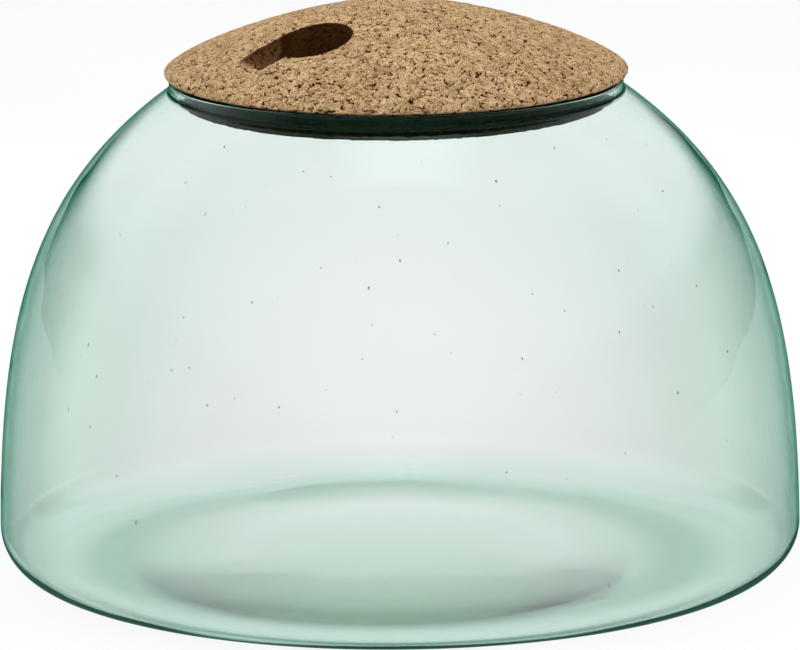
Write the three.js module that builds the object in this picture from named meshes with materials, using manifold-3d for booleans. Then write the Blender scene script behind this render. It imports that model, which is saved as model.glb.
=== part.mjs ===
// Empty glass terrarium: a blown glass vessel closed by a one-piece cork lid with an air hole.
//
// Units are millimetres and +Z is up. The origin lies on the surface that the vessel stands on,
// under the middle of the vessel. Seen from the front, looking along +Y, the air hole is at the
// front left of the lid.

import * as THREE from "three";
import { mergeVertices } from "three/addons/utils/BufferGeometryUtils.js";
import Module from "manifold-3d";

// ---- Driving dimensions of the vessel ----

const BODY_RADIUS = 155; // widest half-width, just above the lower corner
const CORNER_RADIUS = 17.2; // outside of the rounded lower corner
const FOOT_INNER_RADIUS = 116; // inner edge of the flat ring that the vessel stands on
const PUNT_RISE = 4; // how far the middle of the base is pushed up
const BASE_THICKNESS = 2.9; // over the foot
const BASE_SWELL = 3.3; // how much thicker the middle of the base is
const WALL_THICKNESS = 2.3; // at the lower corner
const SHOULDER_THICKNESS = 3; // where the wall meets the collar

const WALL_LEAN = 1.1; // inward lean of the wall's lower handle
const WALL_HANDLE = 82.5; // how long the wall stays nearly upright
const SHOULDER_HANDLE = 64; // how long the shoulder stays nearly straight
const SHOULDER_SLOPE = THREE.MathUtils.degToRad(36); // where it meets the collar, from level

const COLLAR_RADIUS = 87.3; // outside of the collar
const MOUTH_RADIUS = 83.4; // inside of the collar
const COLLAR_FOOT_HEIGHT = 187.4; // where the collar's upright outside starts
const COLLAR_FILLET = 2.6; // hollow where the shoulder turns up into the collar
const VESSEL_HEIGHT = 191.1; // top of the lip
const LIP_RADIUS = 1.5; // both rounded edges of the lip

// ---- Driving dimensions of the lid ----

const SEAT_GAP = 0.3; // between the lip and the cap that rests on it
const CAP_RADIUS = 89.3; // widest half-width of the cap
const CAP_EDGE_RADIUS = 2.2; // rounded lower edge of the cap
const CROWN_RISE = 27.5; // height of the crown above the cap's widest line
const CROWN_POWER = 1.44; // fullness of the crown near its middle
const CROWN_EDGE_POWER = 1.27; // fullness of the crown near its edge
const STOPPER_TOP_RADIUS = 82.8;
const STOPPER_BOTTOM_RADIUS = 81.6;
const STOPPER_DEPTH = 11.6;
const STOPPER_CHAMFER = 0.8;

// ---- Driving dimensions of the air hole and the finger scoop that leads into it ----

const HOLE_RADIUS = 15;
const HOLE_AZIMUTH = THREE.MathUtils.degToRad(228); // from +X, towards +Y
const HOLE_DISTANCE = 43.9; // of the hole's axis from the lid's axis, at HOLE_HEIGHT
const HOLE_HEIGHT = 206.7;
const HOLE_LEAN = THREE.MathUtils.degToRad(22); // the top leans outwards
const HOLE_LENGTH = 100; // of the cutter, well past the lid on both sides
const SCOOP_RADIUS = 8.8;
const SCOOP_AZIMUTH = THREE.MathUtils.degToRad(217.5);
const SCOOP_PITCH = THREE.MathUtils.degToRad(1.6); // the scoop rises outwards
const SCOOP_OFFSET = -6.1; // sideways from the hole's axis
const SCOOP_LIFT = 1.2; // above HOLE_HEIGHT
const SCOOP_LENGTH = 60;

// ---- Fineness of the faceted surfaces ----

const TURNS = 64; // facets round the vessel and the lid
const PUNT_STEPS = 7;
const CORNER_STEPS = 5;
const WALL_STEPS = 12;
const SMALL_ARC_STEPS = 2;
const CROWN_STEPS = 12;
const HOLE_FACETS = 32;
const SCOOP_FACETS = 24;

/** Points along an ellipse's arc, from angle start to angle end, both ends included. */
function arc(centre, radiusR, radiusZ, start, end, steps) {
  const points = [];
  for (let i = 0; i <= steps; i += 1) {
    const angle = start + ((end - start) * i) / steps;
    const r = centre.x + radiusR * Math.cos(angle);
    const z = centre.y + radiusZ * Math.sin(angle);
    points.push(new THREE.Vector2(r, z));
  }
  return points;
}

/** Drops each point that repeats the one before it, so that joined outlines share their ends. */
function joined(...outlines) {
  const tolerance = 1e-6;
  const points = outlines.flat();
  return points.filter((point, i) => i === 0 || point.distanceTo(points[i - 1]) > tolerance);
}

/** A closed solid turned about Z from an outline of (radius, height) points. */
function turned(outline) {
  return new THREE.LatheGeometry(outline, TURNS).rotateX(Math.PI / 2);
}

// ---- The vessel ----

/** Across the base, from its middle to the foot's inner edge: lifted, and swollen in the middle. */
function baseOutline(lift, swell) {
  const points = [];
  for (let i = 0; i <= PUNT_STEPS; i += 1) {
    const share = i / PUNT_STEPS;
    const rise = (PUNT_RISE * (1 + Math.cos(Math.PI * share))) / 2;
    const height = rise + lift + swell * (1 - share ** 2);
    points.push(new THREE.Vector2(FOOT_INNER_RADIUS * share, height));
  }
  return points;
}

/** Outside of the wall and shoulder, from the lower corner to the hollow under the collar. */
function wallCurve() {
  const start = new THREE.Vector2(BODY_RADIUS, CORNER_RADIUS);
  const end = new THREE.Vector2(
    COLLAR_RADIUS + COLLAR_FILLET * (1 - Math.sin(SHOULDER_SLOPE)),
    COLLAR_FOOT_HEIGHT - COLLAR_FILLET * Math.cos(SHOULDER_SLOPE),
  );
  const startHandle = new THREE.Vector2(start.x - WALL_LEAN, start.y + WALL_HANDLE);
  const endHandle = new THREE.Vector2(
    end.x + SHOULDER_HANDLE * Math.cos(SHOULDER_SLOPE),
    end.y - SHOULDER_HANDLE * Math.sin(SHOULDER_SLOPE),
  );
  return new THREE.CubicBezierCurve(start, startHandle, endHandle, end);
}

/** Inside of the wall and shoulder: the outside moved in by the thickness of the glass. */
function innerWallOutline(curve) {
  const points = [];
  for (let i = 0; i <= WALL_STEPS; i += 1) {
    const share = i / WALL_STEPS;
    const point = curve.getPoint(share);
    const tangent = curve.getTangent(share);
    const thickness = THREE.MathUtils.lerp(WALL_THICKNESS, SHOULDER_THICKNESS, share);
    points.push(new THREE.Vector2(point.x - tangent.y * thickness, point.y + tangent.x * thickness));
  }
  return points;
}

/** Inside of the mouth, from the shoulder up to the straight inside of the collar. */
function throatOutline(shoulderEnd) {
  const rise = (shoulderEnd.x - MOUTH_RADIUS) * Math.tan(SHOULDER_SLOPE);
  const handle = new THREE.Vector2(MOUTH_RADIUS, shoulderEnd.y + rise);
  const top = new THREE.Vector2(MOUTH_RADIUS, COLLAR_FOOT_HEIGHT);
  return new THREE.QuadraticBezierCurve(shoulderEnd, handle, top).getPoints(SMALL_ARC_STEPS);
}

function vesselOutline() {
  const quarter = Math.PI / 2;
  const cornerCentre = new THREE.Vector2(BODY_RADIUS - CORNER_RADIUS, CORNER_RADIUS);
  const filletCentre = new THREE.Vector2(COLLAR_RADIUS + COLLAR_FILLET, COLLAR_FOOT_HEIGHT);
  const lipHeight = VESSEL_HEIGHT - LIP_RADIUS;
  const outerLipCentre = new THREE.Vector2(COLLAR_RADIUS - LIP_RADIUS, lipHeight);
  const innerLipCentre = new THREE.Vector2(MOUTH_RADIUS + LIP_RADIUS, lipHeight);
  const curve = wallCurve();
  const innerWall = innerWallOutline(curve);
  const innerCornerWidth = CORNER_RADIUS - WALL_THICKNESS;
  const innerCornerHeight = CORNER_RADIUS - BASE_THICKNESS;
  const filletStart = -quarter - SHOULDER_SLOPE;
  const outside = joined(
    baseOutline(0, 0),
    arc(cornerCentre, CORNER_RADIUS, CORNER_RADIUS, -quarter, 0, CORNER_STEPS),
    curve.getPoints(WALL_STEPS),
    arc(filletCentre, COLLAR_FILLET, COLLAR_FILLET, filletStart, -Math.PI, SMALL_ARC_STEPS),
    arc(outerLipCentre, LIP_RADIUS, LIP_RADIUS, 0, quarter, SMALL_ARC_STEPS),
  );
  const inside = joined(
    arc(innerLipCentre, LIP_RADIUS, LIP_RADIUS, quarter, Math.PI, SMALL_ARC_STEPS),
    throatOutline(innerWall[WALL_STEPS]).reverse(),
    innerWall.toReversed().slice(0, -1),
    arc(cornerCentre, innerCornerWidth, innerCornerHeight, 0, -quarter, CORNER_STEPS),
    baseOutline(BASE_THICKNESS, BASE_SWELL).reverse(),
  );
  return joined(outside, inside);
}

// ---- The lid ----

/** Crown of the cap from its middle out to its widest line. */
function crownOutline(widestHeight) {
  const points = [];
  for (let i = 0; i <= CROWN_STEPS; i += 1) {
    const share = Math.sin((Math.PI / 2) * (i / CROWN_STEPS));
    const rise = CROWN_RISE * (1 - share ** CROWN_POWER) ** (1 / CROWN_EDGE_POWER);
    points.push(new THREE.Vector2(CAP_RADIUS * share, widestHeight + rise));
  }
  return points;
}

function lidOutline() {
  const seat = VESSEL_HEIGHT + SEAT_GAP;
  const widestHeight = seat + CAP_EDGE_RADIUS;
  const edgeCentre = new THREE.Vector2(CAP_RADIUS - CAP_EDGE_RADIUS, widestHeight);
  const stopperBottom = seat - STOPPER_DEPTH;
  return joined(
    crownOutline(widestHeight),
    arc(edgeCentre, CAP_EDGE_RADIUS, CAP_EDGE_RADIUS, 0, -Math.PI / 2, SMALL_ARC_STEPS),
    [
      new THREE.Vector2(STOPPER_TOP_RADIUS, seat),
      new THREE.Vector2(STOPPER_BOTTOM_RADIUS, stopperBottom + STOPPER_CHAMFER),
      new THREE.Vector2(STOPPER_BOTTOM_RADIUS - STOPPER_CHAMFER, stopperBottom),
      new THREE.Vector2(0, stopperBottom),
    ],
  ).reverse();
}

/** The direction with the given azimuth, raised from level by pitch. */
function direction(azimuth, pitch) {
  const level = Math.cos(pitch);
  return new THREE.Vector3(
    level * Math.cos(azimuth),
    level * Math.sin(azimuth),
    Math.sin(pitch),
  );
}

/** A round cutter whose axis runs from a start point along a direction. */
function cutter(radius, length, facets, start, along) {
  const turn = new THREE.Quaternion().setFromUnitVectors(new THREE.Vector3(0, 1, 0), along);
  return new THREE.CylinderGeometry(radius, radius, length, facets)
    .translate(0, length / 2, 0)
    .applyQuaternion(turn)
    .translate(start.x, start.y, start.z);
}

function holeMiddle() {
  const middle = direction(HOLE_AZIMUTH, 0).multiplyScalar(HOLE_DISTANCE);
  middle.z = HOLE_HEIGHT;
  return middle;
}

function holeCutter() {
  const along = direction(HOLE_AZIMUTH, Math.PI / 2 - HOLE_LEAN);
  const start = holeMiddle().addScaledVector(along, -HOLE_LENGTH / 2);
  return cutter(HOLE_RADIUS, HOLE_LENGTH, HOLE_FACETS, start, along);
}

function scoopCutter() {
  const along = direction(SCOOP_AZIMUTH, SCOOP_PITCH);
  const sideways = direction(SCOOP_AZIMUTH + Math.PI / 2, 0);
  const start = holeMiddle().addScaledVector(sideways, SCOOP_OFFSET);
  start.z += SCOOP_LIFT;
  return cutter(SCOOP_RADIUS, SCOOP_LENGTH, SCOOP_FACETS, start, along);
}

// ---- Cutting ----

const wasm = await Module();
wasm.setup();

/** A solid for cutting, from a closed geometry whose shared corners are merged. */
function toSolid(geometry) {
  geometry.deleteAttribute("normal");
  geometry.deleteAttribute("uv");
  const merged = mergeVertices(geometry);
  const corners = merged.index.array;
  const triangles = [];
  for (let i = 0; i < corners.length; i += 3) {
    const [a, b, c] = corners.slice(i, i + 3);
    if (a !== b && b !== c && c !== a) {
      triangles.push(a, b, c);
    }
  }
  return new wasm.Manifold(new wasm.Mesh({
    numProp: 3,
    vertProperties: Float32Array.from(merged.attributes.position.array),
    triVerts: Uint32Array.from(triangles),
  }));
}

function toGeometry(solid) {
  const { vertProperties, triVerts } = solid.getMesh();
  const geometry = new THREE.BufferGeometry();
  geometry.setAttribute("position", new THREE.BufferAttribute(vertProperties, 3));
  geometry.setIndex(new THREE.BufferAttribute(triVerts, 1));
  geometry.computeVertexNormals();
  return geometry;
}

// ---- Finishes ----

function glass() {
  return new THREE.MeshStandardMaterial({
    color: 0xb9dccd,
    roughness: 0.05,
    metalness: 0,
    transparent: true,
    opacity: 0.35,
    side: THREE.DoubleSide,
  });
}

function cork() {
  return new THREE.MeshStandardMaterial({ color: 0xc39b6d, roughness: 0.9, metalness: 0 });
}

// ---- The pieces ----

function glassVessel() {
  const mesh = new THREE.Mesh(turned(vesselOutline()), glass());
  mesh.name = "glass_vessel";
  return mesh;
}

function corkLid() {
  const block = toSolid(turned(lidOutline()));
  const bored = block.subtract(toSolid(holeCutter())).subtract(toSolid(scoopCutter()));
  const mesh = new THREE.Mesh(toGeometry(bored), cork());
  mesh.name = "cork_lid";
  return mesh;
}

const terrarium = new THREE.Group();
terrarium.name = "terrarium";
terrarium.add(glassVessel(), corkLid());

export default terrarium;
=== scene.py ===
"""An empty terrarium of green blown glass, closed by a domed lid of pressed cork.

Lengths are in metres. +Z is up, and the origin lies on the surface that the vessel stands on,
under its middle. The camera looks along +Y, so the lid's air hole is at the front left.
"""

import logging
import math
import random
from collections.abc import Callable
from dataclasses import dataclass, field
from enum import Enum
import bmesh
import bpy
import numpy as np
from mathutils import Matrix, Vector


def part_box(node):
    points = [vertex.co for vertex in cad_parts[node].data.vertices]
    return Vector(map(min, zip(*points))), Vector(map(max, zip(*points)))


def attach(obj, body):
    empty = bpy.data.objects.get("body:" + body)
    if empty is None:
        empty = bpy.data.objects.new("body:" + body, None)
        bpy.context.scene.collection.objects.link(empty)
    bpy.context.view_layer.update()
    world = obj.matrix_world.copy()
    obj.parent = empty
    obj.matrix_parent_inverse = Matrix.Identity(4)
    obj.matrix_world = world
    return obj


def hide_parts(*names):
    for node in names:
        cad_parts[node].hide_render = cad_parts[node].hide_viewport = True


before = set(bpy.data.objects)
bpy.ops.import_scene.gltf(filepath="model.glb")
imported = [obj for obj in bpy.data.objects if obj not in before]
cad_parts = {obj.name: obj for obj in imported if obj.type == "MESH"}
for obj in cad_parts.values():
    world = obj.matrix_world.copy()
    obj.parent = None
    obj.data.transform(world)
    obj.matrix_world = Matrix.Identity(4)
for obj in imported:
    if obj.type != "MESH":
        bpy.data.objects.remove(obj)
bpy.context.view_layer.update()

MM = 0.001
REST_PLACE = "rest_place"  # attribute that keeps where the cork's surface was before its relief
BASE_SHARE = "base_share"  # attribute that is 1 on the vessel's thick base and 0 on its wall

log = logging.getLogger("terrarium")

Outline = list[tuple[float, float]]
Colour = tuple[float, float, float]


# ---- Outlines and turned meshes ----


def arc(
    centre: tuple[float, float], radii: tuple[float, float], start: float, end: float, steps: int
) -> Outline:
    """Points along an ellipse's arc, both ends included.

    Args:
        centre: Radius and height of the ellipse's centre.
        radii: Half-widths of the ellipse across and up.
        start: Angle of the first point, in degrees from outwards.
        end: Angle of the last point, in degrees.
        steps: Number of steps between the two ends.

    Returns:
        The points, as pairs of radius and height.
    """
    angles = (math.radians(start + (end - start) * i / steps) for i in range(steps + 1))
    return [
        (centre[0] + radii[0] * math.cos(angle), centre[1] + radii[1] * math.sin(angle))
        for angle in angles
    ]


def bezier(handles: list[tuple[float, float]], share: float) -> tuple[float, float]:
    """The point at a share of the way along a smooth curve.

    Args:
        handles: The curve's ends, with its handles between them.
        share: From 0 at the first end to 1 at the last.

    Returns:
        Radius and height of the point.
    """
    points = [Vector(handle) for handle in handles]
    while len(points) > 1:
        points = [a.lerp(b, share) for a, b in zip(points, points[1:])]
    return (points[0].x, points[0].y)


def joined(*outlines: Outline) -> Outline:
    """Joins outlines end to end.

    Args:
        outlines: The outlines, in order.

    Returns:
        One outline, without the points that repeat the one before them.
    """
    nearest = 1e-7
    points: Outline = []
    for point in (point for outline in outlines for point in outline):
        if not points or math.dist(point, points[-1]) > nearest:
            points.append(point)
    return points


def turned_mesh(
    name: str,
    outline: Outline,
    turns: int,
    inset: Callable[[np.ndarray, np.ndarray, np.ndarray], np.ndarray] | None = None,
) -> bpy.types.Mesh:
    """A closed mesh turned about Z from an outline that starts and ends on the axis.

    Args:
        name: Name of the mesh.
        outline: Radius and height of each point, from the axis round to the axis again.
        turns: Number of facets round the axis.
        inset: How far each point goes into the solid, from arrays of angle, radius and place
            along the outline. Without it, no point moves.

    Returns:
        The smooth mesh, with its faces pointing out.
    """
    points = np.array(outline)
    along = np.gradient(points, axis=0)
    along /= np.linalg.norm(along, axis=1)[:, None]
    outward = np.stack([along[:, 1], -along[:, 0]], axis=1)
    angles = np.linspace(0.0, math.tau, turns, endpoint=False)
    ring = points[1:-1]
    place = np.arange(1, len(points) - 1) / (len(points) - 1)
    angle, radius = np.meshgrid(angles, ring[:, 0])
    height = np.broadcast_to(ring[:, 1:], angle.shape)
    if inset is not None:
        depth = inset(angle, radius, np.broadcast_to(place[:, None], angle.shape))
        radius = radius - depth * outward[1:-1, :1]
        height = height - depth * outward[1:-1, 1:]
    rings = np.stack([radius * np.cos(angle), radius * np.sin(angle), height], axis=-1)
    poles = np.array([[0.0, 0.0, outline[0][1]], [0.0, 0.0, outline[-1][1]]])
    vertices = np.concatenate([rings.reshape(-1, 3), poles])
    first_pole, last_pole = len(vertices) - 2, len(vertices) - 1
    rows = len(ring)
    after = [(i + 1) % turns for i in range(turns)]
    faces: list[tuple[int, ...]] = [(first_pole, after[i], i) for i in range(turns)]
    for row in range(rows - 1):
        low, high = row * turns, (row + 1) * turns
        faces += [(low + i, low + after[i], high + after[i], high + i) for i in range(turns)]
    top = (rows - 1) * turns
    faces += [(top + i, top + after[i], last_pole) for i in range(turns)]
    mesh = bpy.data.meshes.new(name)
    mesh.from_pydata(vertices.tolist(), [], faces)
    mesh.shade_smooth()
    return mesh


def link(name: str, mesh: bpy.types.Mesh) -> bpy.types.Object:
    """A new object of the scene that holds a mesh.

    Args:
        name: Name of the object.
        mesh: Its mesh.

    Returns:
        The object.
    """
    piece = bpy.data.objects.new(name, mesh)
    bpy.context.scene.collection.objects.link(piece)
    return piece


def finished_mesh(piece: bpy.types.Object, name: str) -> bpy.types.Mesh:
    """The mesh of a piece with its modifiers applied.

    Args:
        piece: The object, which keeps its own mesh.
        name: Name of the new mesh.

    Returns:
        The new mesh.
    """
    graph = bpy.context.evaluated_depsgraph_get()
    mesh = bpy.data.meshes.new_from_object(piece.evaluated_get(graph), depsgraph=graph)
    mesh.name = name
    return mesh


# ---- Node helpers ----


@dataclass(frozen=True)
class Nodes:
    """Adds nodes to a material's, world's or geometry's tree."""

    tree: bpy.types.NodeTree

    def add(self, kind: str, **settings: object) -> bpy.types.Node:
        """Adds one node.

        Args:
            kind: Blender's name of the node type.
            settings: Properties of the node, by name.

        Returns:
            The node.
        """
        node = self.tree.nodes.new(kind)
        for name, value in settings.items():
            setattr(node, name, value)
        return node

    def feed(self, socket: bpy.types.NodeSocket, value: object) -> None:
        """Links another node's output to a socket, or sets the socket to a plain value.

        Args:
            socket: The input.
            value: An output socket, a number, or a tuple of numbers.
        """
        if isinstance(value, bpy.types.NodeSocket):
            self.tree.links.new(value, socket)
        else:
            socket.default_value = value

    def math(
        self, operation: str, first: object, second: object = 0.0, clamp: bool = False
    ) -> bpy.types.NodeSocket:
        """The output of a Math node.

        Args:
            operation: Name of the operation.
            first: Its first input.
            second: Its second input.
            clamp: Whether the result is kept between 0 and 1.

        Returns:
            The output socket.
        """
        node = self.add("ShaderNodeMath", operation=operation, use_clamp=clamp)
        self.feed(node.inputs[0], first)
        self.feed(node.inputs[1], second)
        return node.outputs[0]

    def vector(
        self, operation: str, first: object, second: object = (0.0, 0.0, 0.0)
    ) -> bpy.types.NodeSocket:
        """The output of a Vector Math node.

        Args:
            operation: Name of the operation.
            first: Its first vector.
            second: Its second vector, or the factor of SCALE.

        Returns:
            The output socket, a number for LENGTH and DOT_PRODUCT and a vector for the rest.
        """
        node = self.add("ShaderNodeVectorMath", operation=operation)
        self.feed(node.inputs[0], first)
        self.feed(node.inputs["Scale" if operation == "SCALE" else 1], second)
        return node.outputs["Value" if operation in ("LENGTH", "DOT_PRODUCT") else "Vector"]

    def noise(
        self, coords: object, size: float, detail: float = 2.0, rough: float = 0.5
    ) -> bpy.types.NodeSocket:
        """The value of a noise texture.

        Args:
            coords: Where it is read.
            size: Rough size of its patches, in metres.
            detail: Number of finer layers.
            rough: Strength of the finer layers.

        Returns:
            The output socket.
        """
        node = self.add("ShaderNodeTexNoise")
        self.feed(node.inputs["Vector"], coords)
        node.inputs["Scale"].default_value = 1.0 / size
        node.inputs["Detail"].default_value = detail
        node.inputs["Roughness"].default_value = rough
        return node.outputs[0]

    def cells(self, coords: object, size: float, feature: str) -> bpy.types.Node:
        """A texture of irregular cells.

        Args:
            coords: Where it is read.
            size: Rough size of its cells, in metres.
            feature: Which measure of the cells it gives.

        Returns:
            The node.
        """
        node = self.add("ShaderNodeTexVoronoi", feature=feature)
        self.feed(node.inputs["Vector"], coords)
        node.inputs["Scale"].default_value = 1.0 / size
        return node

    def span(
        self, value: object, low: float, high: float, to_low: float, to_high: float
    ) -> bpy.types.NodeSocket:
        """Maps one range of numbers to another, clamped at both ends.

        Args:
            value: The input.
            low: The value that gives to_low.
            high: The value that gives to_high.
            to_low: The lowest result.
            to_high: The highest result.

        Returns:
            The output socket.
        """
        node = self.add("ShaderNodeMapRange", clamp=True)
        for socket, number in zip(node.inputs, (value, low, high, to_low, to_high)):
            self.feed(socket, number)
        return node.outputs[0]

    def ramp(
        self, value: object, stops: tuple[tuple[float, Colour], ...]
    ) -> bpy.types.NodeSocket:
        """The colour of a ramp.

        Args:
            value: Where on the ramp, from 0 to 1.
            stops: Place and colour of each stop.

        Returns:
            The output socket.
        """
        node = self.add("ShaderNodeValToRGB")
        elements = node.color_ramp.elements
        while len(elements) < len(stops):
            elements.new(0.5)
        for element, (place, colour) in zip(elements, stops):
            element.position = place
            element.color = (*colour, 1.0)
        self.feed(node.inputs[0], value)
        return node.outputs["Color"]

    def blend(self, share: object, first: object, second: object) -> bpy.types.NodeSocket:
        """The colour of a Mix node.

        Args:
            share: How much of the second colour is taken.
            first: The first colour.
            second: The second colour.

        Returns:
            The output socket.
        """
        node = self.add("ShaderNodeMix", data_type="RGBA")
        self.feed(node.inputs[0], share)
        for index, colour in ((6, first), (7, second)):
            self.feed(node.inputs[index], (*colour, 1.0) if isinstance(colour, tuple) else colour)
        return node.outputs[2]


def new_material(name: str) -> tuple[bpy.types.Material, Nodes, bpy.types.Node]:
    """A material with a Principled shader.

    Args:
        name: Name of the material.

    Returns:
        The material, the helper for its nodes, and its shader.
    """
    material = bpy.data.materials.new(name)
    material.use_nodes = True
    shader = material.node_tree.nodes["Principled BSDF"]
    return material, Nodes(material.node_tree), shader


# ---- Finishes ----


@dataclass(frozen=True)
class GreenGlass:
    """Clear blown glass with faint smears, tinted by thickness, slant to the eye and height.

    Painted shade lines run along the heel, a painted highlight lightens the shoulder, and the
    base's ring is partly painted shade.
    """

    refraction: float = 1.5
    face_on_gloss: Colour = (0.1, 0.25, 0.2)
    absorbed_per_metre: Colour = (24.0, 6.0, 13.0)
    tints: tuple[tuple[float, Colour], ...] = (
        (0.0, (0.96, 0.935, 0.935)),
        (0.2, (0.85, 0.87, 0.855)),
        (0.3, (0.79, 0.84, 0.81)),
        (0.45, (0.77, 0.87, 0.82)),
        (0.6, (0.65, 0.77, 0.71)),
        (0.75, (0.57, 0.73, 0.67)),
        (0.81, (0.37, 0.6, 0.5)),
        (0.88, (0.1, 0.4, 0.28)),
        (1.0, (0.04, 0.3, 0.18)),
    )
    ring_radius: float = 150 * MM
    # A darker ring in the base: partly the thick glass's green, partly painted shade.
    ring_tints_and_shade: tuple[tuple[float, Colour], ...] = (
        (0.42, (0.93, 1.0, 0.97)),
        (0.6, (0.7, 0.85, 0.78)),
        (0.7, (0.48, 0.67, 0.59)),
        (0.78, (0.48, 0.67, 0.59)),
        (0.88, (0.75, 0.88, 0.83)),
    )
    heel_height: tuple[float, float] = (4 * MM, 14 * MM)
    shoulder_height: tuple[float, float] = (110 * MM, 165 * MM)
    # The shoulder is whitened where it faces the eye: a painted highlight.
    shoulder_highlight: float = 0.85
    shoulder_highlight_colour: Colour = (1.0, 0.98, 0.99)
    highlight_slants: tuple[float, float] = (0.65, 0.9)
    # Heel colours by slant: two painted shade lines along the foot, with a lighter painted line
    # between them.
    heel_shade_and_highlight: tuple[tuple[float, Colour], ...] = (
        (0.0, (0.96, 0.935, 0.935)),
        (0.36, (0.87, 0.94, 0.91)),
        (0.44, (0.45, 0.7, 0.59)),
        (0.5, (0.03, 0.14, 0.08)),
        (0.56, (0.05, 0.23, 0.14)),
        (0.62, (0.6, 0.85, 0.75)),
        (0.7, (0.2, 0.5, 0.38)),
        (0.8, (0.03, 0.22, 0.13)),
    )
    smear_size: float = 45 * MM
    smear_range: tuple[float, float] = (0.5, 0.75)
    smoothest: float = 0.0
    dullest: float = 0.03
    swirl_size: float = 60 * MM
    swirl_height: float = 0.12 * MM

    def make(self) -> bpy.types.Material:
        """Builds the glass material.

        Returns:
            The material.
        """
        material, nodes, shader = new_material("green_blown_glass")
        coords = nodes.add("ShaderNodeTexCoord").outputs["Object"]
        split = nodes.add("ShaderNodeSeparateXYZ")
        nodes.feed(split.inputs[0], coords)
        slant = nodes.add("ShaderNodeLayerWeight").outputs["Facing"]
        # Painted shade lines and a painted highlight along the heel, by height and slant.
        heel = nodes.span(split.outputs["Z"], *self.heel_height, 1.0, 0.0)
        edges = nodes.blend(
            heel, nodes.ramp(slant, self.tints), nodes.ramp(slant, self.heel_shade_and_highlight)
        )
        # Painted highlight: whitens the shoulder where it faces the eye.
        shoulder = nodes.span(split.outputs["Z"], *self.shoulder_height, 0.0, 1.0)
        facing = nodes.span(slant, *self.highlight_slants, self.shoulder_highlight, 0.0)
        edges = nodes.blend(
            nodes.math("MULTIPLY", shoulder, facing), edges, self.shoulder_highlight_colour
        )
        # The base's ring colour: glass tint and painted shade together.
        away = nodes.vector("LENGTH", coords)
        tint = nodes.ramp(nodes.math("DIVIDE", away, self.ring_radius), self.ring_tints_and_shade)
        base = nodes.add("ShaderNodeAttribute", attribute_name=BASE_SHARE).outputs["Fac"]
        colour = nodes.blend(base, edges, tint)
        nodes.feed(shader.inputs["Base Color"], colour)
        shader.inputs["IOR"].default_value = self.refraction
        shader.inputs["Specular Tint"].default_value = (*self.face_on_gloss, 1.0)
        shader.inputs["Transmission Weight"].default_value = 1.0
        smears = nodes.noise(coords, self.smear_size, detail=3.0)
        rough = nodes.span(smears, *self.smear_range, self.smoothest, self.dullest)
        nodes.feed(shader.inputs["Roughness"], rough)
        bump = nodes.add("ShaderNodeBump")
        bump.inputs["Distance"].default_value = self.swirl_height
        nodes.feed(bump.inputs["Height"], nodes.noise(coords, self.swirl_size, detail=1.0))
        nodes.feed(shader.inputs["Normal"], bump.outputs["Normal"])
        density = max(self.absorbed_per_metre)
        body = nodes.add("ShaderNodeVolumeAbsorption")
        body.inputs["Color"].default_value = (
            *(1.0 - share / density for share in self.absorbed_per_metre),
            1.0,
        )
        body.inputs["Density"].default_value = density
        output = material.node_tree.nodes["Material Output"]
        nodes.feed(output.inputs["Volume"], body.outputs["Volume"])
        return material


@dataclass(frozen=True)
class GranulePattern:
    """Where cork granules meet and gape, the same for the lid's relief and for its colour."""

    granule: float = 3.4 * MM
    crumb: float = 1.6 * MM
    wander: float = 1.3 * MM
    wander_size: float = 2.6 * MM
    gap_patch: float = 2.2 * MM
    crumb_gap_patch: float = 1.6 * MM
    widest_gap: float = 0.21
    widest_at: float = 0.8
    edge_softness: float = 0.02
    rim_width: float = 0.03
    rim_softness: float = 0.09
    gap_sparseness: float = 0.47
    crumb_gap_sparseness: float = 0.54

    def add(self, nodes: Nodes, coords: object) -> dict[str, bpy.types.NodeSocket]:
        """Adds the pattern's nodes to a tree.

        Args:
            nodes: The helper for the tree.
            coords: Each point of the surface, before it is given its relief.

        Returns:
            The outputs: shade and crumb_shade of a granule and a crumb, from 0 to 1, gap, which
            is 1 in the openings between them, and rim, which is 1 there and close beside them.
        """
        wander = nodes.add("ShaderNodeTexNoise")
        nodes.feed(wander.inputs["Vector"], coords)
        wander.inputs["Scale"].default_value = 1.0 / self.wander_size
        centred = nodes.vector("SUBTRACT", wander.outputs["Color"], (0.5, 0.5, 0.5))
        moved = nodes.vector("ADD", coords, nodes.vector("SCALE", centred, self.wander))
        inside = nodes.math(
            "MAXIMUM",
            self._inside(nodes, moved, self.granule, self.gap_patch, self.gap_sparseness),
            self._inside(nodes, moved, self.crumb, self.crumb_gap_patch, self.crumb_gap_sparseness),
        )
        beside = nodes.math("ADD", inside, self.rim_width)
        shades = [
            nodes.add("ShaderNodeSeparateColor", mode="RGB")
            if isinstance(nodes.tree, bpy.types.ShaderNodeTree)
            else nodes.add("FunctionNodeSeparateColor", mode="RGB")
            for _ in range(2)
        ]
        for shade, size in zip(shades, (self.granule, self.crumb)):
            nodes.feed(shade.inputs[0], nodes.cells(moved, size, "F1").outputs["Color"])
        return {
            "shade": shades[0].outputs[0],
            "crumb_shade": shades[1].outputs[0],
            "gap": nodes.math("DIVIDE", inside, self.edge_softness, clamp=True),
            "rim": nodes.math("DIVIDE", beside, self.rim_softness, clamp=True),
        }

    def _inside(
        self, nodes: Nodes, coords: object, size: float, patch: float, sparse: float
    ) -> bpy.types.NodeSocket:
        """How far inside an opening between cells of one size each point lies.

        Args:
            nodes: The helper for the tree.
            coords: Where the pattern is read.
            size: Size of the cells.
            patch: Size of the stretches along which an opening widens and closes.
            sparse: The noise value under which the cells stay closed.

        Returns:
            The output socket, above 0 in an opening.
        """
        edge = nodes.cells(coords, size, "DISTANCE_TO_EDGE").outputs["Distance"]
        noise = nodes.noise(coords, patch, detail=2.0, rough=0.6)
        width = nodes.span(noise, sparse, self.widest_at, -self.edge_softness, self.widest_gap)
        return nodes.math("SUBTRACT", width, edge)


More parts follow.
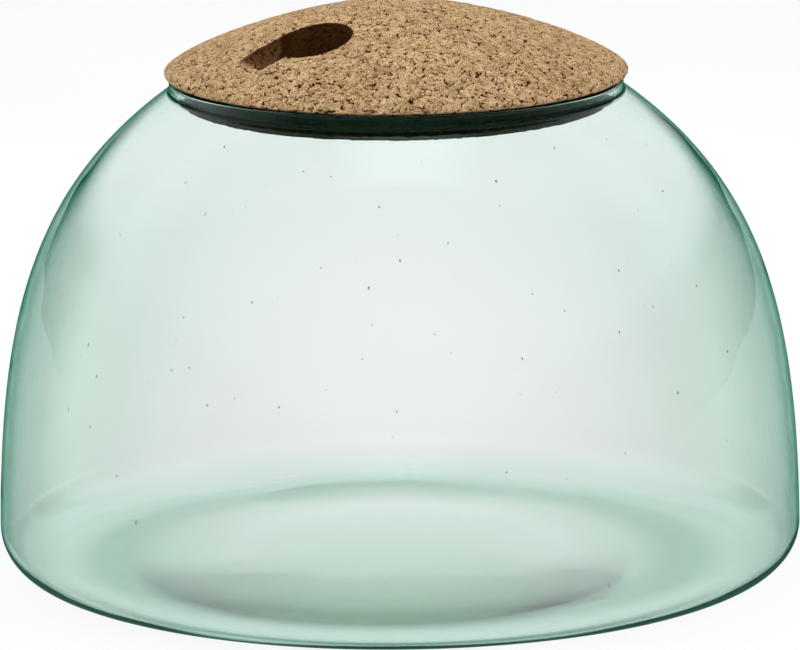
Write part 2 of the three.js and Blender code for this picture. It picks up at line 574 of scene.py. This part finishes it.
@dataclass(frozen=True)
class RoundCut:
    """A round cut through the cork, whose wall gets painted shade, darker than the pressed surface.
    """

    name: str
    radius: float
    middle: Vector
    azimuth: float
    pitch: float
    both_ways: bool
    # How much painted shade the cut's wall gets, and on which side it deepens.
    painted_shade: float
    shaded_side: tuple[float, float] | None = None
    shade_turn: float = 0.0

    def sideways(self) -> Vector:
        """Level direction in which the painted shade on the cut's wall deepens.

        Returns:
            The unit vector.
        """
        towards = self.azimuth + self.shade_turn
        return Vector((math.sin(towards), -math.cos(towards), 0.0))

    def along(self) -> Vector:
        """Direction of the cut's axis.

        Returns:
            The unit vector.
        """
        level = math.cos(self.pitch)
        return Vector(
            (
                level * math.cos(self.azimuth),
                level * math.sin(self.azimuth),
                math.sin(self.pitch),
            )
        )


@dataclass(frozen=True)
class PressedCork:
    """Raw cork granules pressed together: tan, browner in places, dark in gaps, with painted shade
    in the cuts and under the cap's edge.
    """

    pattern: GranulePattern = field(default_factory=GranulePattern)
    shades: tuple[tuple[float, Colour], ...] = (
        (0.0, (0.165, 0.075, 0.02)),
        (0.14, (0.285, 0.155, 0.057)),
        (0.34, (0.4, 0.235, 0.1)),
        (0.55, (0.48, 0.3, 0.139)),
        (0.78, (0.58, 0.38, 0.193)),
        (1.0, (0.73, 0.52, 0.3)),
    )
    gap_colour: Colour = (0.03, 0.009, 0.001)
    # Painted shade on the walls of the air hole and the scoop.
    cut_shade_colour: Colour = (0.058, 0.016, 0.0012)
    rim_colour: Colour = (0.18, 0.065, 0.012)
    rim_strength: float = 0.85
    bleached_colour: Colour = (0.78, 0.575, 0.355)
    bleached_share: float = 0.14
    # Painted shade on the cap's lower edge, down to the seat.
    full_shade_colour: Colour = (0.006, 0.005, 0.002)
    cut_edge: float = 0.35 * MM
    # Heights above the seat where the painted shade is full and where it ends.
    full_shade_above_seat: float = 0.2 * MM
    no_shade_above_seat: float = 1.4 * MM
    grain_size: float = 0.5 * MM
    patch_size: float = 22 * MM
    crumb_share: float = 0.6
    granule_share: float = 0.3
    grain_range: tuple[float, float] = (0.34, 0.66)
    grain_swing: tuple[float, float] = (-0.95, 0.9)
    patch_range: tuple[float, float] = (0.3, 0.7)
    patch_swing: tuple[float, float] = (-0.06, 0.1)
    rough_range: tuple[float, float] = (0.3, 0.7)
    gloss: float = 0.05
    roughest: float = 0.95
    smoothest: float = 0.78
    grain_height: float = 0.2 * MM

    def _cut_shade_share(
        self, nodes: Nodes, rest: bpy.types.NodeSocket, cut: RoundCut
    ) -> bpy.types.NodeSocket:
        """How much painted shade a cut's wall gets.

        Args:
            nodes: The helper for the material's tree.
            rest: Each point of the surface, before its relief.
            cut: The cut.

        Returns:
            The output socket.
        """
        reach = nodes.vector("SUBTRACT", rest, tuple(cut.middle))
        away = nodes.vector("LENGTH", nodes.vector("CROSS_PRODUCT", reach, tuple(cut.along())))
        edge = cut.radius + self.cut_edge
        share = nodes.span(away, edge, edge + self.cut_edge, cut.painted_shade, 0.0)
        if cut.both_ways:
            return share
        ahead = nodes.vector("DOT_PRODUCT", reach, tuple(cut.along()))
        share = nodes.math("MULTIPLY", share, nodes.span(ahead, 0.0, self.cut_edge, 0.0, 1.0))
        if cut.shaded_side is None:
            return share
        aside = nodes.vector("DOT_PRODUCT", reach, tuple(cut.sideways()))
        return nodes.math("MULTIPLY", share, nodes.span(aside, *cut.shaded_side, 0.0, 1.0))

    def make(self, cuts: list[RoundCut], seat: float) -> bpy.types.Material:
        """Builds the cork material.

        Args:
            cuts: The cuts through the lid.
            seat: Height at which the cap rests on the lip. Up to a little above it the cork gets
                painted shade.

        Returns:
            The material.
        """
        material, nodes, shader = new_material("raw_pressed_cork")
        rest = nodes.add("ShaderNodeAttribute", attribute_name=REST_PLACE).outputs["Vector"]
        parts = self.pattern.add(nodes, rest)
        grain = nodes.noise(rest, self.grain_size, detail=4.0, rough=0.65)
        patches = nodes.noise(rest, self.patch_size, detail=2.0)
        mixed = nodes.math("MULTIPLY", parts["crumb_shade"], self.crumb_share)
        shade = nodes.math("MULTIPLY", parts["shade"], self.granule_share)
        mixed = nodes.math("ADD", mixed, shade)
        fine = nodes.span(grain, *self.grain_range, *self.grain_swing)
        mixed = nodes.math("ADD", mixed, fine)
        slow = nodes.span(patches, *self.patch_range, *self.patch_swing)
        mixed = nodes.math("ADD", mixed, slow, clamp=True)
        split = nodes.add("ShaderNodeSeparateXYZ")
        nodes.feed(split.inputs[0], rest)
        body = nodes.ramp(mixed, self.shades)
        body = nodes.blend(self.bleached_share, body, self.bleached_colour)
        stain = nodes.math("MULTIPLY", parts["rim"], self.rim_strength)
        stained = nodes.blend(stain, body, self.rim_colour)
        colour = nodes.blend(parts["gap"], stained, self.gap_colour)
        # Painted shade on the walls of the cuts.
        for cut in cuts:
            colour = nodes.blend(self._cut_shade_share(nodes, rest, cut), colour, self.cut_shade_colour)
        # Painted shade on the cap's lower edge, full just above the seat and gone higher up.
        full_shade, no_shade = seat + self.full_shade_above_seat, seat + self.no_shade_above_seat
        colour = nodes.blend(
            nodes.span(split.outputs["Z"], full_shade, no_shade, 1.0, 0.0), colour, self.full_shade_colour
        )
        nodes.feed(shader.inputs["Base Color"], colour)
        rough = nodes.span(grain, *self.rough_range, self.smoothest, self.roughest)
        nodes.feed(shader.inputs["Roughness"], rough)
        shader.inputs["Specular IOR Level"].default_value = self.gloss
        bump = nodes.add("ShaderNodeBump")
        bump.inputs["Distance"].default_value = self.grain_height
        nodes.feed(bump.inputs["Height"], grain)
        nodes.feed(shader.inputs["Normal"], bump.outputs["Normal"])
        return material


@dataclass(frozen=True)
class ShadedStopperCork:
    """The stopper's side and underside: nearly black cork as painted shade under the cap, with no
    gloss left.
    """

    dark: Colour = (0.002, 0.003, 0.001)
    light: Colour = (0.007, 0.009, 0.003)
    patch_size: float = 2.5 * MM
    patch_range: tuple[float, float] = (0.4, 0.75)
    roughness: float = 0.95
    gloss: float = 0.0

    def make(self) -> bpy.types.Material:
        """Builds the damp cork material.

        Returns:
            The material.
        """
        material, nodes, shader = new_material("full_shade_pressed_cork")
        rest = nodes.add("ShaderNodeAttribute", attribute_name=REST_PLACE).outputs["Vector"]
        patches = nodes.noise(rest, self.patch_size, detail=4.0, rough=0.6)
        first, last = self.patch_range
        colour = nodes.ramp(patches, ((first, self.dark), (last, self.light)))
        nodes.feed(shader.inputs["Base Color"], colour)
        shader.inputs["Roughness"].default_value = self.roughness
        shader.inputs["Specular IOR Level"].default_value = self.gloss
        return material


@dataclass(frozen=True)
class PaleFloor:
    """Matt white studio floor with a barely visible paper grain."""

    white: float = 0.92
    mottle: float = 0.012
    mottle_size: float = 300 * MM
    mottle_range: tuple[float, float] = (0.3, 0.7)
    roughness: float = 0.9
    gloss: float = 0.1

    def make(self) -> bpy.types.Material:
        """Builds the floor material.

        Returns:
            The material.
        """
        material, nodes, shader = new_material("pale_floor")
        coords = nodes.add("ShaderNodeTexCoord").outputs["Object"]
        noise = nodes.noise(coords, self.mottle_size)
        dim, bright = self.white - self.mottle, self.white + self.mottle
        first, last = self.mottle_range
        colour = nodes.ramp(noise, ((first, (dim,) * 3), (last, (bright,) * 3)))
        nodes.feed(shader.inputs["Base Color"], colour)
        shader.inputs["Roughness"].default_value = self.roughness
        shader.inputs["Specular IOR Level"].default_value = self.gloss
        return material


# ---- The vessel ----


@dataclass(frozen=True)
class Ripple:
    """One slow wave of hand-made glass, round and along the wall."""

    round_count: int
    along_count: float
    phase: float


@dataclass
class GlassVessel:
    """The blown vessel: pushed-up base, near-upright wall, domed shoulder, collar and lip."""

    node: str = "glass_vessel"
    corner_radius: float = 17.2 * MM
    foot_inner_radius: float = 116 * MM
    punt_rise: float = 4 * MM
    base_thickness: float = 2.9 * MM
    base_swell: float = 3.3 * MM
    base_stretch: tuple[float, float] = (0.85, 1.06)
    base_shift: tuple[float, float] = (-7 * MM, -1 * MM)
    wall_thickness: float = 2.3 * MM
    shoulder_thickness: float = 3 * MM
    wall_lean: float = 1.1 * MM
    wall_handle: float = 82.5 * MM
    shoulder_handle: float = 64 * MM
    shoulder_slope: float = math.radians(36)
    collar_radius: float = 87.3 * MM
    mouth_radius: float = 83.4 * MM
    collar_foot_below_rim: float = 3.7 * MM
    collar_fillet: float = 2.6 * MM
    lip_radius: float = 1.5 * MM
    inner_base_fade: tuple[float, float] = (146 * MM, 152 * MM)
    outer_base_fade: tuple[float, float] = (125 * MM, 137 * MM)
    turns: int = 256
    flat_steps: int = 4
    corner_steps: int = 20
    small_arc_steps: int = 8
    ripples: tuple[Ripple, ...] = (
        Ripple(2, 5.0, 0.4),
        Ripple(3, 11.0, 1.9),
        Ripple(5, 17.0, 3.1),
        Ripple(8, 29.0, 5.2),
    )
    ripple_depth: float = 0.1 * MM
    ripple_fade: float = 140 * MM
    seed_draw: int = 11
    seed_count: int = 170
    seed_below_rim: float = 12 * MM
    seed_least_radius: float = 90 * MM
    seed_depths: tuple[float, float] = (0.35, 0.65)
    seed_stretches: tuple[float, float] = (1.0, 2.4)
    seed_smallest: float = 0.16 * MM
    seed_largest: float = 0.42 * MM
    finish: GreenGlass = field(default_factory=GreenGlass)

    def outline(self) -> Outline:
        """The vessel's section, from under the middle of the base to above it.

        Returns:
            Radius and height of each point.
        """
        low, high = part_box(self.node)
        body_radius, height = (high[0] - low[0]) / 2, high[2]
        collar_foot = height - self.collar_foot_below_rim
        slope = self.shoulder_slope
        centre = (body_radius - self.corner_radius, self.corner_radius)
        fillet_centre = (self.collar_radius + self.collar_fillet, collar_foot)
        wall_end = (
            fillet_centre[0] - self.collar_fillet * math.sin(slope),
            fillet_centre[1] - self.collar_fillet * math.cos(slope),
        )
        handles = [
            (body_radius, self.corner_radius),
            (body_radius - self.wall_lean, self.corner_radius + self.wall_handle),
            (
                wall_end[0] + self.shoulder_handle * math.cos(slope),
                wall_end[1] - self.shoulder_handle * math.sin(slope),
            ),
            wall_end,
        ]
        wall_steps = 96
        shares = [i / wall_steps for i in range(wall_steps + 1)]
        wall = [bezier(handles, share) for share in shares]
        inner_wall = [self._inside(handles, share) for share in shares]
        lip_height = height - self.lip_radius
        lip = (self.lip_radius, self.lip_radius)
        corner = (self.corner_radius, self.corner_radius)
        inner_corner = (
            self.corner_radius - self.wall_thickness,
            self.corner_radius - self.base_thickness,
        )
        slope_degrees, small = math.degrees(slope), self.small_arc_steps
        return joined(
            self._base(0.0, 0.0),
            self._foot(centre[0], 0.0),
            arc(centre, corner, -90, 0, self.corner_steps),
            wall,
            arc(fillet_centre, (self.collar_fillet,) * 2, -90 - slope_degrees, -180, small),
            arc((self.collar_radius - self.lip_radius, lip_height), lip, 0, 90, small),
            arc((self.mouth_radius + self.lip_radius, lip_height), lip, 90, 180, small),
            self._throat(inner_wall[-1], collar_foot)[::-1],
            inner_wall[:0:-1],
            arc(centre, inner_corner, 0, -90, self.corner_steps),
            self._foot(centre[0], self.base_thickness)[::-1],
            self._base(self.base_thickness, self.base_swell)[::-1],
        )

    def _foot(self, outer_radius: float, height: float) -> Outline:
        """Across the flat ring that the vessel stands on.

        Args:
            outer_radius: Where the rounded lower corner starts.
            height: Height of the ring's surface.

        Returns:
            Radius and height of each point, outwards.
        """
        wide = outer_radius - self.foot_inner_radius
        steps = self.flat_steps
        return [(self.foot_inner_radius + wide * i / steps, height) for i in range(steps + 1)]

    def _base(self, lift: float, swell: float) -> Outline:
        """Across the pushed-up base, from its middle to the foot.

        Args:
            lift: Height above the underside.
            swell: How much further the middle rises than the foot.

        Returns:
            Radius and height of each point.
        """
        steps = 28
        outline = []
        for i in range(steps + 1):
            share = i / steps
            push = self.punt_rise * (1 + math.cos(math.pi * share)) / 2
            outline.append((self.foot_inner_radius * share, push + lift + swell * (1 - share**2)))
        return outline

    def _inside(self, handles: Outline, share: float) -> tuple[float, float]:
        """The inside of the wall, across from a point of its outside.

        Args:
            handles: Ends and handles of the outside curve.
            share: Place along the outside curve.

        Returns:
            Radius and height of the inside point.
        """
        step = 1e-4
        here = bezier(handles, share)
        before = bezier(handles, max(0.0, share - step))
        after = bezier(handles, min(1.0, share + step))
        tangent = (Vector(after) - Vector(before)).normalized()
        thickness = self.wall_thickness + (self.shoulder_thickness - self.wall_thickness) * share
        return (here[0] - tangent.y * thickness, here[1] + tangent.x * thickness)

    def _throat(self, shoulder_end: tuple[float, float], collar_foot: float) -> Outline:
        """Inside of the mouth, from the shoulder up to the straight inside of the collar.

        Args:
            shoulder_end: Where the inside of the shoulder ends.
            collar_foot: Height at which the collar is upright.

        Returns:
            Radius and height of each point.
        """
        rise = (shoulder_end[0] - self.mouth_radius) * math.tan(self.shoulder_slope)
        handle = (self.mouth_radius, shoulder_end[1] + rise)
        ends = [shoulder_end, handle, (self.mouth_radius, collar_foot)]
        steps = self.small_arc_steps
        return [bezier(ends, i / steps) for i in range(steps + 1)]

    def _waviness(self, angle: np.ndarray, radius: np.ndarray, place: np.ndarray) -> np.ndarray:
        """How far the hand-made glass lies inside its ideal surface.

        Args:
            angle: Angle round the axis of each point.
            radius: Its distance from the axis.
            place: Its place along the outline, from 0 to 1.

        Returns:
            The depth of each point.
        """
        total = sum(
            np.sin(wave.round_count * angle + wave.along_count * math.tau * place + wave.phase)
            for wave in self.ripples
        )
        share = 0.5 + 0.5 * total / len(self.ripples)
        fade = np.clip(radius / self.ripple_fade, 0.0, 1.0) ** 3
        return self.ripple_depth * share * fade

    def _pull_base(self, mesh: bpy.types.Mesh) -> None:
        """Pulls the pushed-up part of the base out of round and to the left.

        Its edge moves in by 24 mm at the right and by 10 mm at the left. The solid's is round.

        Args:
            mesh: The vessel's mesh.
        """
        place = np.empty(3 * len(mesh.vertices))
        mesh.vertices.foreach_get("co", place)
        place = place.reshape(-1, 3)
        radius = np.linalg.norm(place[:, :2], axis=1)
        foot_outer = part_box(self.node)[1][0] - self.corner_radius
        share = np.clip((foot_outer - radius) / (foot_outer - self.foot_inner_radius), 0.0, 1.0)
        share *= place[:, 2] < self.corner_radius
        for axis in range(2):
            stretched = place[:, axis] * self.base_stretch[axis] + self.base_shift[axis]
            place[:, axis] += share * (stretched - place[:, axis])
        mesh.vertices.foreach_set("co", place.ravel())

    def _mark_base(self, mesh: bpy.types.Mesh, outline: Outline) -> None:
        """Keeps on each point how far it belongs to the thick base.

        Args:
            mesh: The vessel's mesh.
            outline: Its section.
        """
        radius, height = np.array(outline).T
        inside = np.arange(len(outline)) > height.argmax()
        whole = np.where(inside, self.inner_base_fade[0], self.outer_base_fade[0])
        none = np.where(inside, self.inner_base_fade[1], self.outer_base_fade[1])
        share = np.clip((none - radius) / (none - whole), 0.0, 1.0)
        share *= height < self.corner_radius
        marks = mesh.attributes.new(BASE_SHARE, "FLOAT", "POINT")
        marks.data.foreach_set(
            "value", np.concatenate([np.repeat(share[1:-1], self.turns), share[[0, -1]]])
        )

    def _add_seeds(self, mesh: bpy.types.Mesh, outline: Outline) -> None:
        """Leaves small air bubbles inside the wall, as hollows of the same mesh.

        Args:
            mesh: The vessel's mesh.
            outline: Its section.
        """
        draw = random.Random(self.seed_draw)
        form = bmesh.new()
        form.from_mesh(mesh)
        low, high = self.corner_radius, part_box(self.node)[1][2] - self.seed_below_rim
        least = self.seed_least_radius
        wall = [p for p in outline[: len(outline) // 2] if low < p[1] < high and p[0] > least]
        for _ in range(self.seed_count):
            spot = draw.randrange(1, len(wall) - 1)
            here, after = Vector(wall[spot]), Vector(wall[spot + 1])
            tangent = (after - here).normalized()
            depth = self.wall_thickness * draw.uniform(*self.seed_depths)
            radius, height = here.x - tangent.y * depth, here.y + tangent.x * depth
            angle = draw.uniform(0.0, math.tau)
            size = draw.uniform(0.0, 1.0) ** 2
            size = self.seed_smallest + (self.seed_largest - self.seed_smallest) * size
            long = size * draw.uniform(*self.seed_stretches)
            stretch = Matrix.Diagonal((size, size, long, 1.0))
            lean = Matrix.Rotation(math.atan2(-tangent.x, tangent.y), 4, "Y")
            place = Matrix.Rotation(angle, 4, "Z") @ Matrix.Translation((radius, 0, height))
            made = bmesh.ops.create_icosphere(
                form, subdivisions=2, radius=1.0, matrix=place @ lean.inverted() @ stretch
            )
            faces = {face for vertex in made["verts"] for face in vertex.link_faces}
            bmesh.ops.reverse_faces(form, faces=list(faces))
            for face in faces:
                face.smooth = True
        form.to_mesh(mesh)
        form.free()

    def build(self) -> bpy.types.Object:
        """Builds and dresses the vessel.

        Returns:
            The vessel's piece.
        """
        outline = self.outline()
        mesh = turned_mesh("blown_glass_vessel", outline, self.turns, self._waviness)
        self._mark_base(mesh, outline)
        self._pull_base(mesh)
        self._add_seeds(mesh, outline)
        vessel = link("blown_glass_vessel", mesh)
        mesh.materials.append(self.finish.make())
        vessel.visible_diffuse = False
        vessel.visible_shadow = False
        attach(vessel, "root")
        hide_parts(self.node)
        log.info("glass vessel: %d faces", len(mesh.polygons))
        return vessel


# ---- The lid ----


@dataclass
class CorkLid:
    """The pressed-cork lid: domed cap, stopper, slanted air hole and the scoop beside it."""

    node: str = "cork_lid"
    cap_edge_radius: float = 2.2 * MM
    crown_power: float = 1.44
    crown_edge_power: float = 1.27
    crown_rise: float = 27.5 * MM
    stopper_top_radius: float = 82.8 * MM
    stopper_bottom_radius: float = 81.6 * MM
    stopper_depth: float = 11.6 * MM
    stopper_chamfer: float = 0.8 * MM
    hole_radius: float = 15.1 * MM
    hole_azimuth: float = math.radians(228)
    hole_distance: float = 45.3 * MM  # 1.4 mm further out than in the solid
    hole_height: float = 206.7 * MM
    hole_lean: float = math.radians(22)
    scoop_radius: float = 8.8 * MM
    scoop_azimuth: float = math.radians(217.5)
    scoop_pitch: float = math.radians(1.6)
    scoop_offset: float = -6.1 * MM
    scoop_lift: float = 1.2 * MM
    # Painted shade in the air hole and the scoop, deeper on one side of the scoop.
    hole_painted_shade: float = 0.95
    scoop_painted_shade: float = 0.86
    scoop_shaded_side: tuple[float, float] = (-2 * MM, 0 * MM)
    scoop_shade_turn: float = math.radians(-18)
    cutter_length: float = 60 * MM
    cutter_facets: int = 96
    turns: int = 256
    mesh_size: float = 0.6 * MM
    skin: float = 0.06 * MM
    granule_step: float = 0.22 * MM
    gap_depth: float = 0.75 * MM
    finish: PressedCork = field(default_factory=PressedCork)
    # Painted shade: the stopper below the seat is nearly black.
    full_shade_finish: ShadedStopperCork = field(default_factory=ShadedStopperCork)

    def outline(self) -> Outline:
        """The lid's section, from under the middle of the stopper to the crown's top.

        Returns:
            Radius and height of each point.
        """
        low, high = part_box(self.node)
        cap_radius, stopper_bottom = (high[0] - low[0]) / 2, low[2]
        seat = stopper_bottom + self.stopper_depth
        widest = seat + self.cap_edge_radius
        edge_centre = (cap_radius - self.cap_edge_radius, widest)
        steps = 60
        crown = []
        for i in range(steps + 1):
            share = math.sin(math.pi / 2 * (1 - i / steps))
            fall = (1 - share**self.crown_power) ** (1 / self.crown_edge_power)
            crown.append((cap_radius * share, widest + self.crown_rise * fall))
        return joined(
            [
                (0.0, stopper_bottom),
                (self.stopper_bottom_radius - self.stopper_chamfer, stopper_bottom),
                (self.stopper_bottom_radius, stopper_bottom + self.stopper_chamfer),
                (self.stopper_top_radius, seat),
            ],
            arc(edge_centre, (self.cap_edge_radius,) * 2, -90, 0, 8),
            crown,
        )

    def cuts(self) -> list[RoundCut]:
        """The air hole, and the finger scoop that leads into it.

        Returns:
            Both cuts.
        """
        towards = Vector((math.cos(self.hole_azimuth), math.sin(self.hole_azimuth), 0))
        middle = towards * self.hole_distance + Vector((0, 0, self.hole_height))
        sideways = Vector((-math.sin(self.scoop_azimuth), math.cos(self.scoop_azimuth), 0))
        start = middle + sideways * self.scoop_offset + Vector((0, 0, self.scoop_lift))
        upright = math.pi / 2 - self.hole_lean
        return [
            RoundCut("scoop", self.scoop_radius, start, self.scoop_azimuth, self.scoop_pitch,
                     False, self.scoop_painted_shade, self.scoop_shaded_side, self.scoop_shade_turn),
            RoundCut("hole", self.hole_radius, middle, self.hole_azimuth, upright,
                     True, self.hole_painted_shade),
        ]

    def _cutter(self, cut: RoundCut) -> bpy.types.Object:
        """The solid that a cut takes away.

        Args:
            cut: The cut.

        Returns:
            The cutter's object.
        """
        mesh = bpy.data.meshes.new(cut.name)
        form = bmesh.new()
        bmesh.ops.create_cone(
            form,
            cap_ends=True,
            segments=self.cutter_facets,
            radius1=cut.radius,
            radius2=cut.radius,
            depth=self.cutter_length,
            matrix=Matrix.Translation((0, 0, 0 if cut.both_ways else self.cutter_length / 2)),
        )
        form.to_mesh(mesh)
        form.free()
        turn = cut.along().to_track_quat("Z", "Y").to_matrix().to_4x4()
        mesh.transform(Matrix.Translation(cut.middle) @ turn)
        return link(cut.name, mesh)

    def _relief(self) -> bpy.types.NodeTree:
        """Geometry nodes that sink gaps and lower granules, and keep each point's first place.

        Returns:
            The node group.
        """
        tree = bpy.data.node_groups.new("granule_relief", "GeometryNodeTree")
        tree.interface.new_socket("Geometry", in_out="INPUT", socket_type="NodeSocketGeometry")
        tree.interface.new_socket("Geometry", in_out="OUTPUT", socket_type="NodeSocketGeometry")
        nodes = Nodes(tree)
        source = nodes.add("NodeGroupInput").outputs[0]
        result = nodes.add("NodeGroupOutput").inputs[0]
        place = nodes.add("GeometryNodeInputPosition").outputs[0]
        normal = nodes.add("GeometryNodeInputNormal").outputs[0]
        keep = nodes.add("GeometryNodeStoreNamedAttribute", data_type="FLOAT_VECTOR")
        nodes.feed(keep.inputs["Geometry"], source)
        keep.inputs["Name"].default_value = REST_PLACE
        nodes.feed(keep.inputs["Value"], place)
        parts = self.finish.pattern.add(nodes, place)
        depth = nodes.math("MULTIPLY", parts["gap"], self.gap_depth)
        step = nodes.math("MULTIPLY", parts["shade"], self.granule_step)
        crumb = nodes.math("MULTIPLY", parts["crumb_shade"], self.granule_step / 2)
        depth = nodes.math("ADD", nodes.math("ADD", depth, step), crumb)
        depth = nodes.math("ADD", depth, self.skin)
        sink = nodes.vector("SCALE", normal, nodes.math("MULTIPLY", depth, -1.0))
        move = nodes.add("GeometryNodeSetPosition")
        nodes.feed(move.inputs["Geometry"], keep.outputs["Geometry"])
        nodes.feed(move.inputs["Offset"], sink)
        nodes.feed(result, move.outputs["Geometry"])
        return tree

    def build(self) -> bpy.types.Object:
        """Builds and dresses the lid.

        Returns:
            The lid's piece.
        """
        blank = link("lid_blank", turned_mesh("lid_blank", self.outline(), self.turns))
        cuts = self.cuts()
        cutters = [self._cutter(cut) for cut in cuts]
        for cutter in cutters:
            cut = blank.modifiers.new(cutter.name, "BOOLEAN")
            cut.operation = "DIFFERENCE"
            cut.solver = "EXACT"
            cut.object = cutter
        evened = blank.modifiers.new("evened", "REMESH")
        evened.mode = "VOXEL"
        evened.voxel_size = self.mesh_size
        evened.use_smooth_shade = True
        relief = blank.modifiers.new("relief", "NODES")
        relief.node_group = self._relief()
        mesh = finished_mesh(blank, "pressed_cork_lid")
        for scrap in (blank, *cutters):
            bpy.data.objects.remove(scrap)
        mesh.shade_smooth()
        mesh.materials.clear()
        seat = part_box(self.node)[0][2] + self.stopper_depth
        mesh.materials.append(self.finish.make(cuts, seat))
        # The stopper below the seat gets the nearly black painted shade.
        mesh.materials.append(self.full_shade_finish.make())
        below_seat = [face.center.z < seat - self.gap_depth for face in mesh.polygons]
        mesh.polygons.foreach_set("material_index", below_seat)
        lid = link("pressed_cork_lid", mesh)
        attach(lid, "root")
        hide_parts(self.node)
        log.info("cork lid: %d faces", len(mesh.polygons))
        return lid


# ---- The studio and the camera ----


class LightRole(Enum):
    """What a soft light of the studio does."""

    OVERHEAD = "overhead softbox"


@dataclass(frozen=True)
class SoftLight:
    """One soft area light, even in its middle and fading towards two of its edges."""

    role: LightRole
    place: tuple[float, float, float]
    target: tuple[float, float, float]
    size: tuple[float, float]
    watts: float
    even_half: float = 0.15
    boost: float = 1.25

    def build(self) -> bpy.types.Object:
        """Adds the light to the scene.

        Returns:
            The light's object.
        """
        name = self.role.name.lower()
        data = bpy.data.lights.new(name, "AREA")
        data.shape = "RECTANGLE"
        data.size, data.size_y = self.size
        data.energy = self.watts
        data.use_nodes = True
        nodes = Nodes(data.node_tree)
        split = nodes.add("ShaderNodeSeparateXYZ")
        nodes.feed(split.inputs[0], nodes.add("ShaderNodeNewGeometry").outputs["Parametric"])
        middle = 0.5
        from_middle = nodes.math("ABSOLUTE", nodes.math("SUBTRACT", split.outputs["X"], middle))
        nodes.feed(
            data.node_tree.nodes["Emission"].inputs["Strength"],
            nodes.span(from_middle, self.even_half, middle, self.boost, 0.0),
        )
        lamp = bpy.data.objects.new(name, data)
        lamp.location = self.place
        aim = Vector(self.target) - Vector(self.place)
        lamp.rotation_mode = "QUATERNION"
        lamp.rotation_quaternion = aim.to_track_quat("-Z", "Y")
        bpy.context.scene.collection.objects.link(lamp)
        log.info("%s: %.0f W", self.role.value, self.watts)
        return lamp


@dataclass
class Studio:
    """Plain pale floor, a soft light and a white surround, dark green below the horizon.

    Reflections don't show the floor, so the glass mirrors the dark green instead.
    """

    floor_half_width: float = 12.0
    mirrored: tuple[tuple[float, Colour], ...] = (
        (0.4, (0.09, 0.27, 0.19)),
        (0.7, (0.04, 0.15, 0.1)),
        (0.76, (0.02, 0.09, 0.06)),
    )
    horizon_glow: float = 1.07
    zenith_glow: float = 1.03
    dusk: tuple[float, float] = (-0.08, 0.05)
    side_flag: float = 0.4
    left_board: tuple[float, float] = (-0.95, -0.8)
    board_colour: Colour = (0.8, 0.86, 0.83)
    floor_drop: float = 0.15 * MM
    bounces: int = 32
    lights: tuple[SoftLight, ...] = (
        SoftLight(LightRole.OVERHEAD, (0.045, 0.11, 1.3), (0.045, 0.11, 0.0), (0.75, 0.78), 3.6),
    )
    finish: PaleFloor = field(default_factory=PaleFloor)

    def build(self) -> None:
        """Builds the floor, the lights and the surroundings."""
        half, level = self.floor_half_width, -self.floor_drop
        mesh = bpy.data.meshes.new("studio_floor")
        corners = [(x * half, y * half, level) for x, y in ((-1, -1), (1, -1), (1, 1), (-1, 1))]
        mesh.from_pydata(corners, [], [(0, 1, 2, 3)])
        mesh.materials.append(self.finish.make())
        floor = link("studio_floor", mesh)
        floor.visible_glossy = False
        for light in self.lights:
            light.build()
        world = bpy.data.worlds.new("soft_surroundings")
        world.use_nodes = True
        background = world.node_tree.nodes["Background"]
        nodes = Nodes(world.node_tree)
        split = nodes.add("ShaderNodeSeparateXYZ")
        nodes.feed(split.inputs[0], nodes.add("ShaderNodeTexCoord").outputs["Generated"])
        height = split.outputs["Z"]
        aside = nodes.math("MULTIPLY", nodes.math("ABSOLUTE", split.outputs["X"]), self.side_flag)
        above = nodes.span(nodes.math("SUBTRACT", height, aside), *self.dusk, 0.0, 1.0)
        below = nodes.ramp(nodes.math("ADD", height, 1.0), self.mirrored)
        board = nodes.span(split.outputs["X"], *self.left_board, 1.0, 0.0)
        below = nodes.blend(board, below, self.board_colour)
        nodes.feed(background.inputs["Color"], nodes.blend(above, below, (1.0, 1.0, 1.0)))
        glow = nodes.span(height, 0.0, 1.0, self.horizon_glow, self.zenith_glow)
        nodes.feed(background.inputs["Strength"], glow)
        scene = bpy.context.scene
        scene.world = world
        scene.view_settings.view_transform = "Standard"
        scene.cycles.max_bounces = self.bounces
        scene.cycles.transmission_bounces = self.bounces
        scene.cycles.glossy_bounces = self.bounces
        log.info("studio: floor and %d lights", len(self.lights))


@dataclass
class PhotoCamera:
    """A long lens that looks a little down on the vessel."""

    place: tuple[float, float, float] = (0.63 * MM, -2897.6 * MM, 719.0 * MM)
    target: tuple[float, float, float] = (0.63 * MM, 0.0, 93.07 * MM)
    lens_mm: float = 345.3
    sensor_mm: float = 36.0
    roll: float = math.radians(-0.515)

    def build(self) -> bpy.types.Object:
        """Adds the camera and makes it the scene's own.

        Returns:
            The camera.
        """
        data = bpy.data.cameras.new("photo_camera")
        data.lens = self.lens_mm
        data.sensor_width = self.sensor_mm
        data.sensor_fit = "HORIZONTAL"
        data.clip_end = 100.0
        camera = bpy.data.objects.new("photo_camera", data)
        aim = (Vector(self.target) - Vector(self.place)).to_track_quat("-Z", "Y")
        turn = aim.to_matrix().to_4x4() @ Matrix.Rotation(self.roll, 4, "Z")
        camera.matrix_world = Matrix.Translation(self.place) @ turn
        scene = bpy.context.scene
        scene.collection.objects.link(camera)
        scene.camera = camera
        log.info("camera: %.1f mm lens", self.lens_mm)
        return camera


def main() -> None:
    """Builds the camera, the studio and the object's two pieces."""
    logging.basicConfig(level=logging.INFO, format="%(message)s")
    PhotoCamera().build()
    Studio().build()
    GlassVessel().build()
    CorkLid().build()


if __name__ == "__main__":
    main()
